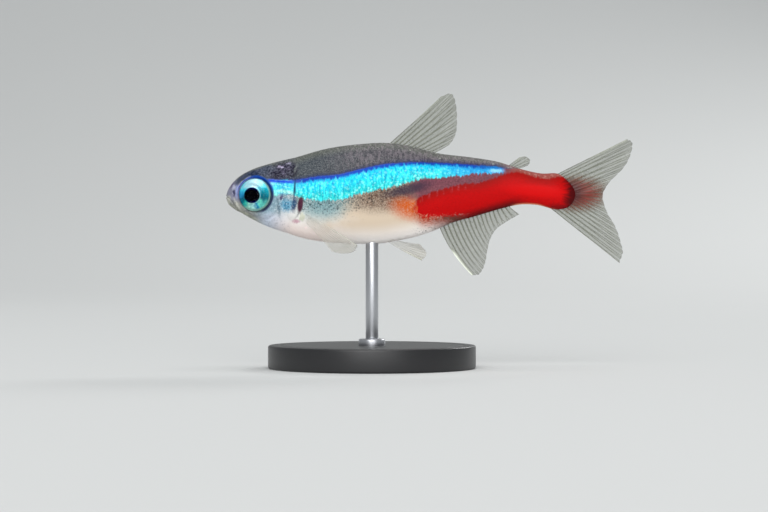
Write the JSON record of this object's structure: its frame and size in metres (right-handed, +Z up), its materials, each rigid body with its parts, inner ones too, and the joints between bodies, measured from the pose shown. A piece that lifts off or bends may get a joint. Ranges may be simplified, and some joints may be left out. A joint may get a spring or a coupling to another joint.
{
  "type": "neon tetra display model",
  "caption": "Still life-size model of a neon tetra swimming level with its fins spread, held over a small round base by one upright rod.",
  "frame": {"origin": "centre of the underside of the stand's round base", "axes": "+X from the snout towards the tail, -Y the fish's left side, +Z up"},
  "size_m": [0.0351, 0.018, 0.0238],
  "materials": {
    "head_skin": "wet grey skin with a lavender snout, pale jaws and a dark cap",
    "body_skin": "scaled skin: dark back, glittering blue-green stripe, silver belly",
    "tail_skin": "scaled skin in wet red",
    "eye": "polished blue-green iris round a black pupil",
    "fin_membrane": "clear membrane with pale rays",
    "caudal_membrane": "clear membrane with smoky rays, reddish at the root",
    "stand_base": "satin black paint",
    "stand_rod": "brushed along its length",
    "gill_cover": "pale blue-silver plate with fine dark speckles"
  },
  "bodies": {
    "root": {"head": "head_skin", "trunk": "body_skin", "tail": "tail_skin", "eye_left": "eye", "eye_right": "eye", "fin_dorsal": "fin_membrane", "fin_adipose": "fin_membrane", "fin_anal": "fin_membrane", "fin_caudal_upper": "caudal_membrane", "fin_caudal_lower": "caudal_membrane", "fin_pelvic_left": "fin_membrane", "fin_pelvic_right": "fin_membrane", "fin_pectoral_left": "fin_membrane", "fin_pectoral_right": "fin_membrane", "stand_base": "stand_base", "stand_rod": "stand_rod", "gill_cover_left": "gill_cover", "gill_cover_right": "gill_cover"}
  },
  "joints": []
}
